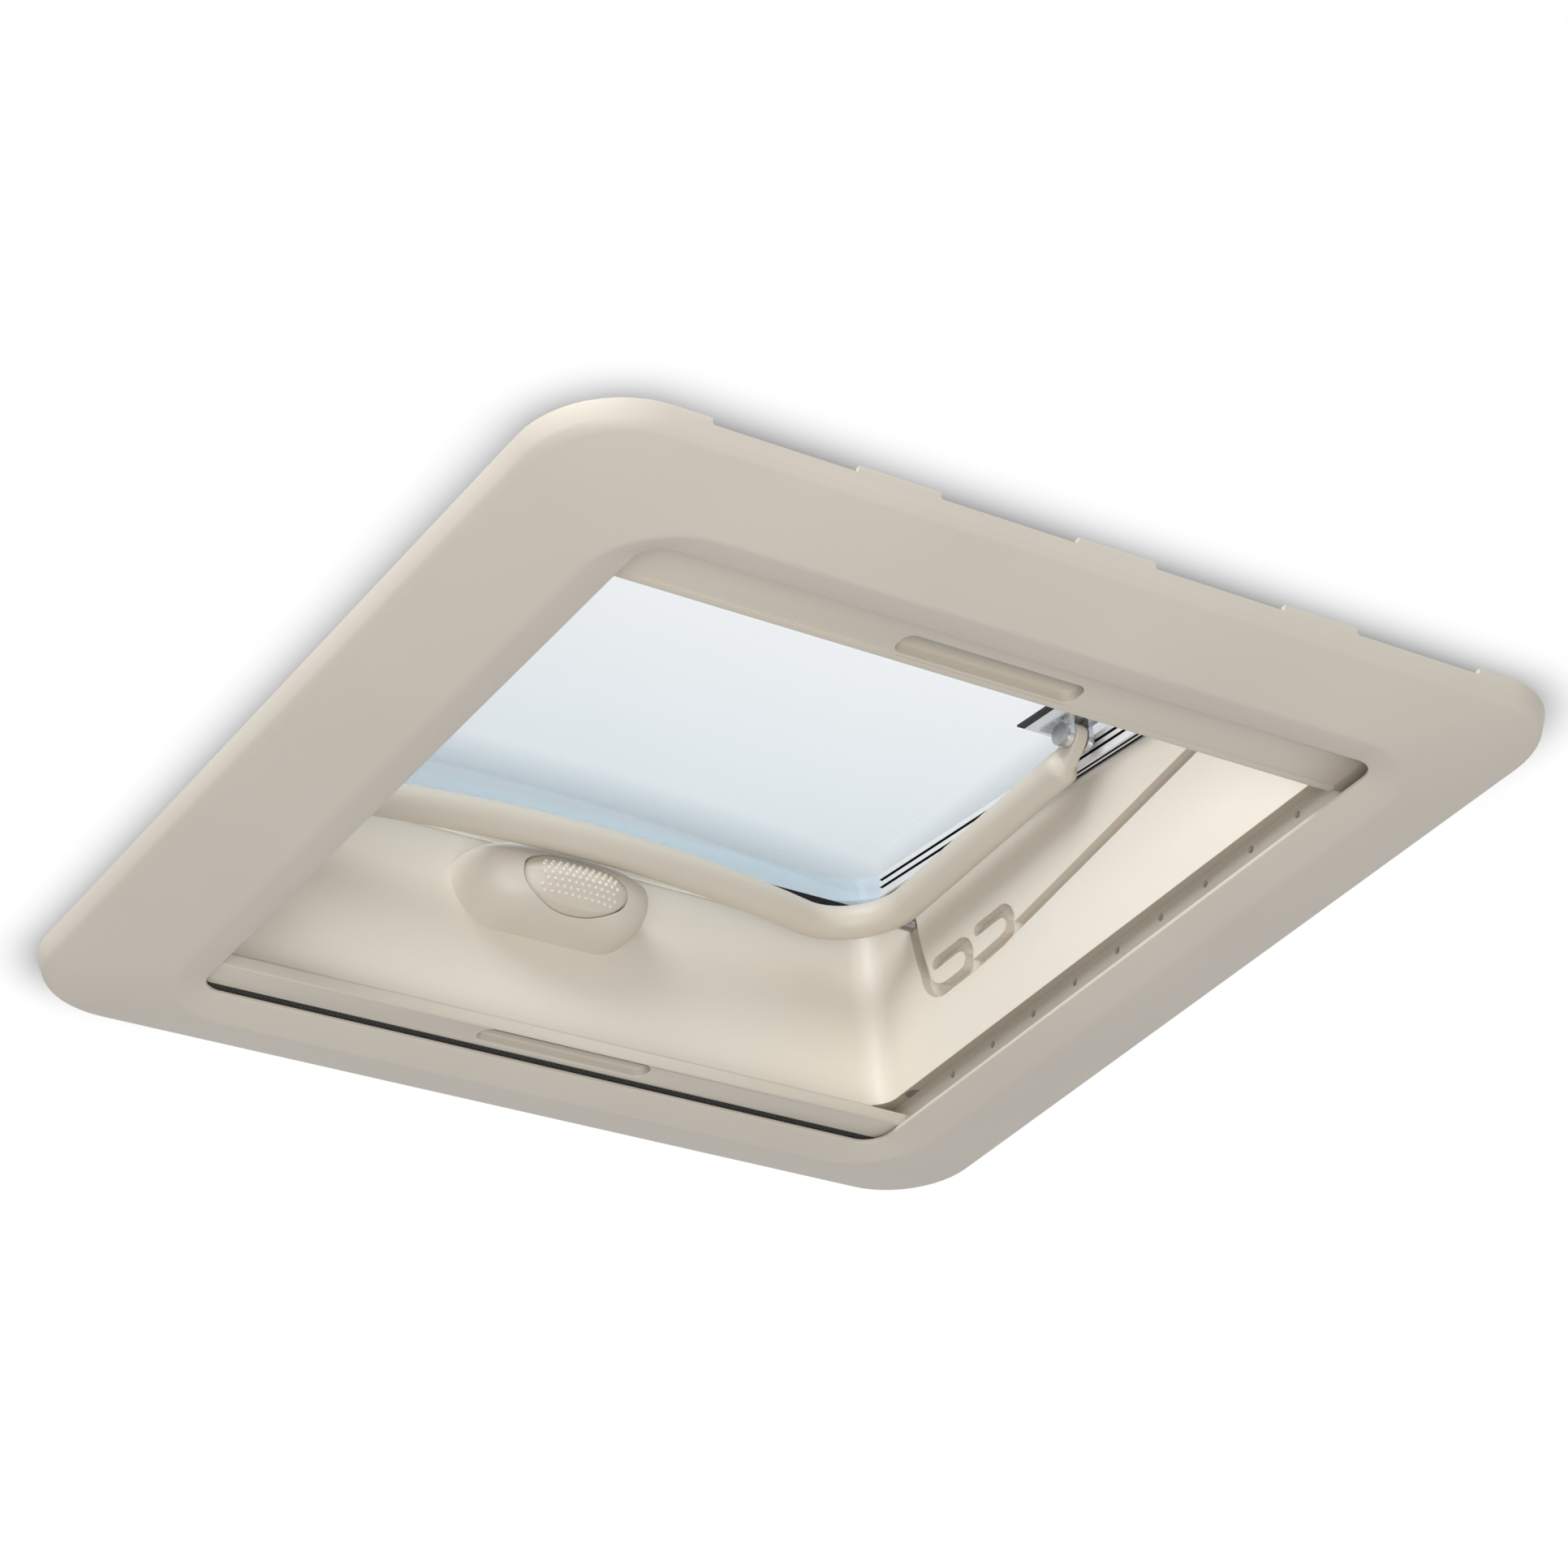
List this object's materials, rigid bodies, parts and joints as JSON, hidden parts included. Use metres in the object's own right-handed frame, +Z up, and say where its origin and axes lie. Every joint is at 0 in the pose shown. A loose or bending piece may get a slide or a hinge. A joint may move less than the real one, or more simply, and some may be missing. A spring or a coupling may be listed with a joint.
{
  "type": "caravan roof vent",
  "caption": "Square tilting roof light for a caravan: ceiling trim with sliding blackout and flyscreen blinds, inner shaft with push-button lock and bow handle, and a hinged dome above the roof.",
  "frame": {"origin": "middle of the trim frame's footprint, on the plane of its lowest ring", "axes": "+Z up through the roof, -Y to the lid's hinge, +Y to the lock, X along the hinge axis"},
  "size_m": [0.49, 0.49, 0.1711],
  "materials": {
    "trim_plastic": "fine satin moulding",
    "shaft_plastic": "fine satin moulding",
    "bow_plastic": "satin",
    "rail_plastic": "satin",
    "edge_plastic": "satin",
    "rubber": "matt",
    "blackout_fabric": "pleated, coated",
    "screen_fabric": "pleated net",
    "steel": "bright",
    "aluminium": "bright",
    "acrylic": "clear, faintly blue"
  },
  "bodies": {
    "frame": {"trim_frame": "trim_plastic", "guide_rail_left": "rail_plastic", "guide_rail_right": "rail_plastic", "blackout_cassette": "trim_plastic", "flyscreen_cassette": "trim_plastic", "blackout_pleats": "blackout_fabric", "flyscreen_pleats": "screen_fabric", "shaft": "shaft_plastic", "clamp_screws": "steel", "roof_frame": "shaft_plastic", "roof_seal": "rubber", "lid_seal": "rubber", "hinge_brackets": "aluminium", "hinge_screws": "steel", "hinge_pins": "steel", "lock_housing": "shaft_plastic", "lock_screws": "steel", "lock_spring": "steel"},
    "lid": {"outer_dome": "acrylic", "inner_pane": "acrylic", "edge_frame": "edge_plastic", "hinge_leaves": "aluminium", "leaf_screws": "steel", "side_rail_left": "aluminium", "side_rail_right": "aluminium", "bow_brackets": "steel", "bracket_pads": "rubber", "bow_bolts": "steel"},
    "bow": {"bow_tube": "bow_plastic", "bow_eyes": "bow_plastic", "bow_studs": "steel"},
    "button": {"lock_button": "bow_plastic", "lock_latch": "steel"},
    "blackout": {"blackout_bar": "trim_plastic", "blackout_shoes": "rail_plastic"},
    "flyscreen": {"flyscreen_bar": "trim_plastic", "flyscreen_shoes": "rail_plastic"}
  },
  "joints": [
    {"name": "lid_hinge", "type": "hinge", "parent": "frame", "child": "lid", "pos_m": [0, -0.212, 0.0828], "axis": [1, 0, 0], "range_deg": [0, 40]},
    {"name": "bow_pivot", "type": "hinge", "parent": "lid", "child": "bow", "pos_m": [0, -0.003, 0.1218], "axis": [1, 0, 0], "range_deg": [-125, 0]},
    {"name": "button_press", "type": "slide", "parent": "frame", "child": "button", "axis": [0, 1, 0], "range_m": [0, 0.004], "stiffness_N_per_m": 500, "springref_m": -0.004, "deforming": ["lock_spring"]},
    {"name": "blackout_slide", "type": "slide", "parent": "frame", "child": "blackout", "axis": [0, 1, 0], "range_m": [0, 0.33], "deforming": ["blackout_pleats"]},
    {"name": "flyscreen_slide", "type": "slide", "parent": "frame", "child": "flyscreen", "axis": [0, -1, 0], "range_m": [0, 0.335], "deforming": ["flyscreen_pleats"]}
  ],
  "couplings": [
    {"joint": "bow_pivot", "follows": "lid_hinge", "ratio": -3.1}
  ]
}
